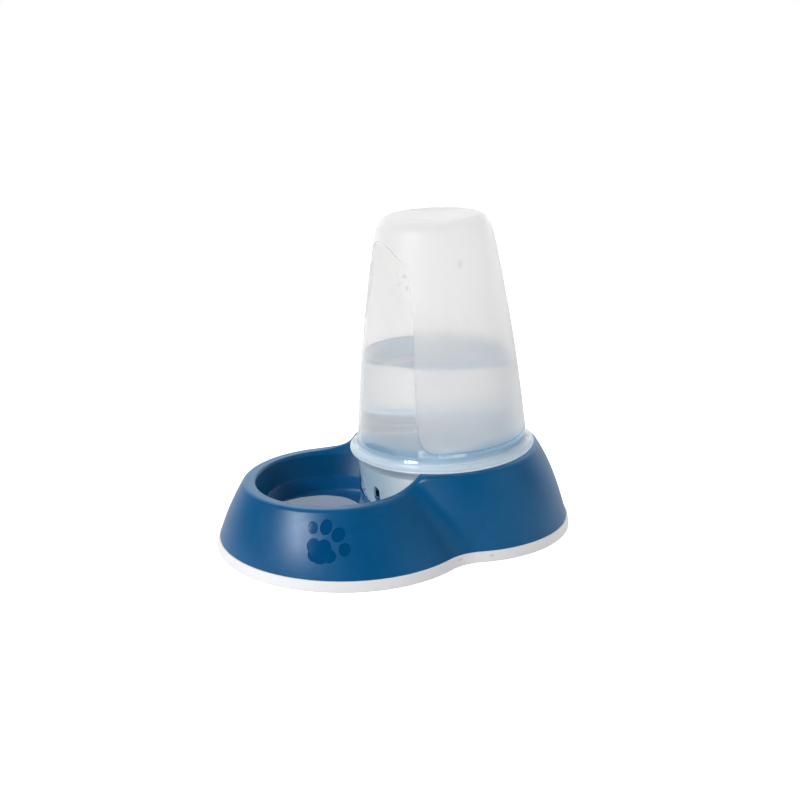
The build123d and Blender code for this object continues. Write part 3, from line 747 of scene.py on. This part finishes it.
# ---------------------------------------------------------------- stage and light
def floor():
    me = bpy.data.meshes.new("floor")
    n, size = 64, 6.0
    verts = [(0, 0, 0)] + [(size * math.cos(2 * math.pi * i / n), size * math.sin(2 * math.pi * i / n), 0) for i in range(n)]
    me.from_pydata(verts, [], [(0, 1 + i, 1 + (i + 1) % n) for i in range(n)])
    ob = bpy.data.objects.new("floor", me)
    scene.collection.objects.link(ob)
    ob.location.z = -0.0002
    t = Tree("floor")
    speck = t.noise(3, 3.0, 0.5)
    color = t.mix(t.ramp(speck, 0.3, 0.7), (0.90, 0.90, 0.90, 1), (0.885, 0.885, 0.89, 1))
    p = t.principled(color=color, rough=0.9, spec=0.1)
    p.inputs["Emission Color"].default_value = (1, 1, 1, 1)
    path = t.node("ShaderNodeLightPath").outputs
    seen = t.math("MAXIMUM", path["Is Camera Ray"], path["Is Transmission Ray"])
    t.nt.links.new(t.math("ADD", t.math("MULTIPLY", seen, FLOOR_GLOW), 0.24), p.inputs["Emission Strength"])
    # seen from under, the floor lets the view through
    under = t.node("ShaderNodeNewGeometry").outputs["Backfacing"]
    through = t.node("ShaderNodeBsdfTransparent", {"Color": (1, 1, 1, 1)})
    me.materials.append(t.finish(t.node("ShaderNodeMixShader", {0: under, 1: p.outputs[0], 2: through.outputs[0]})))


FLOOR_GLOW = 0.55
floor()


def area(name, direction, distance, size, power, color=(1, 1, 1)):
    data = bpy.data.lights.new(name, "AREA")
    data.shape = "RECTANGLE"
    data.size, data.size_y = size
    data.energy = power
    data.color = color
    ob = bpy.data.objects.new(name, data)
    scene.collection.objects.link(ob)
    direction = Vector(direction).normalized()
    target = Vector((0.0, -0.01, 0.06))
    ob.location = target + direction * distance
    ob.rotation_euler = (-direction).to_track_quat("-Z", "Y").to_euler()
    return ob


area("key", (0.28, -0.83, 0.48), 1.5, (0.44, 0.36), 16.0)
area("fill", (0.75, 0.60, 0.30), 1.8, (1.3, 1.0), 3.9)

world = bpy.data.worlds.new("studio")
scene.world = world
world.use_nodes = True
nt = world.node_tree
nt.nodes.clear()
out = nt.nodes.new("ShaderNodeOutputWorld")
bg = nt.nodes.new("ShaderNodeBackground")
seen = nt.nodes.new("ShaderNodeBackground")
mix = nt.nodes.new("ShaderNodeMixShader")
path = nt.nodes.new("ShaderNodeLightPath")
either = nt.nodes.new("ShaderNodeMath")
either.operation = "MAXIMUM"
coords = nt.nodes.new("ShaderNodeTexCoord")
dot = nt.nodes.new("ShaderNodeVectorMath")
dot.operation = "DOT_PRODUCT"
dot.inputs[1].default_value = (-0.86, 0.43, 0.28)     # the pale backdrop behind the object
span = nt.nodes.new("ShaderNodeMapRange")
span.interpolation_type = "SMOOTHSTEP"
span.inputs["From Min"].default_value = -0.50
span.inputs["From Max"].default_value = 0.55
span.inputs["To Min"].default_value = 0.07
span.inputs["To Max"].default_value = 1.1
nt.links.new(coords.outputs["Generated"], dot.inputs[0])
nt.links.new(dot.outputs["Value"], span.inputs["Value"])
# it ends towards the bowl's side, where the studio is dark
parts = nt.nodes.new("ShaderNodeSeparateXYZ")
nt.links.new(coords.outputs["Generated"], parts.inputs[0])
ends = nt.nodes.new("ShaderNodeMapRange")
ends.interpolation_type = "SMOOTHSTEP"
ends.inputs["From Min"].default_value = -0.62
ends.inputs["From Max"].default_value = 0.05
ends.inputs["To Min"].default_value = 0.12
ends.inputs["To Max"].default_value = 1.0
nt.links.new(parts.outputs["Y"], ends.inputs["Value"])
both = nt.nodes.new("ShaderNodeMath")
both.operation = "MULTIPLY"
nt.links.new(span.outputs[0], both.inputs[0])
nt.links.new(ends.outputs[0], both.inputs[1])
# gloss sees only the backdrop's bright middle
shine = nt.nodes.new("ShaderNodeMapRange")
shine.interpolation_type = "SMOOTHSTEP"
shine.inputs["From Min"].default_value = 0.10
shine.inputs["From Max"].default_value = 1.0
shine.inputs["To Min"].default_value = 0.0
shine.inputs["To Max"].default_value = 2.0
nt.links.new(dot.outputs["Value"], shine.inputs["Value"])
shone = nt.nodes.new("ShaderNodeMath")
shone.operation = "MULTIPLY"
nt.links.new(shine.outputs[0], shone.inputs[0])
nt.links.new(ends.outputs[0], shone.inputs[1])
pick = nt.nodes.new("ShaderNodeMix")
pick.data_type = "FLOAT"
nt.links.new(path.outputs["Is Glossy Ray"], pick.inputs[0])
nt.links.new(both.outputs[0], pick.inputs[2])
nt.links.new(shone.outputs[0], pick.inputs[3])
nt.links.new(pick.outputs[0], bg.inputs["Strength"])
shade = nt.nodes.new("ShaderNodeMix")
shade.data_type = "RGBA"
shade.inputs[6].default_value = (0.985, 0.99, 1.0, 1)
shade.inputs[7].default_value = (0.92, 0.96, 1.0, 1)
nt.links.new(path.outputs["Is Glossy Ray"], shade.inputs[0])
nt.links.new(shade.outputs[2], bg.inputs["Color"])
seen.inputs["Color"].default_value = (1, 1, 1, 1)
seen.inputs["Strength"].default_value = 1.0
nt.links.new(path.outputs["Is Camera Ray"], either.inputs[0])
nt.links.new(path.outputs["Is Transmission Ray"], either.inputs[1])
nt.links.new(either.outputs[0], mix.inputs[0])
nt.links.new(bg.outputs[0], mix.inputs[1])
nt.links.new(seen.outputs[0], mix.inputs[2])
nt.links.new(mix.outputs[0], out.inputs["Surface"])

scene.view_settings.view_transform = "Standard"
scene.view_settings.look = "None"
scene.view_settings.exposure = 0.0
scene.view_settings.gamma = 1.0


def stretching_spring():
    """A steel copy of the spring's mesh, where the spring stands; the spring from the model is hidden."""
    me = bpy.data.objects["valve_spring"].data.copy()
    me.name = "spring_wire"
    me.materials.clear()
    me.materials.append(STEEL)
    ob = bpy.data.objects.new("spring_wire", me)
    scene.collection.objects.link(ob)
    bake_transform(ob)
    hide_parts("valve_spring")


stretching_spring()

bpy.context.view_layer.update()
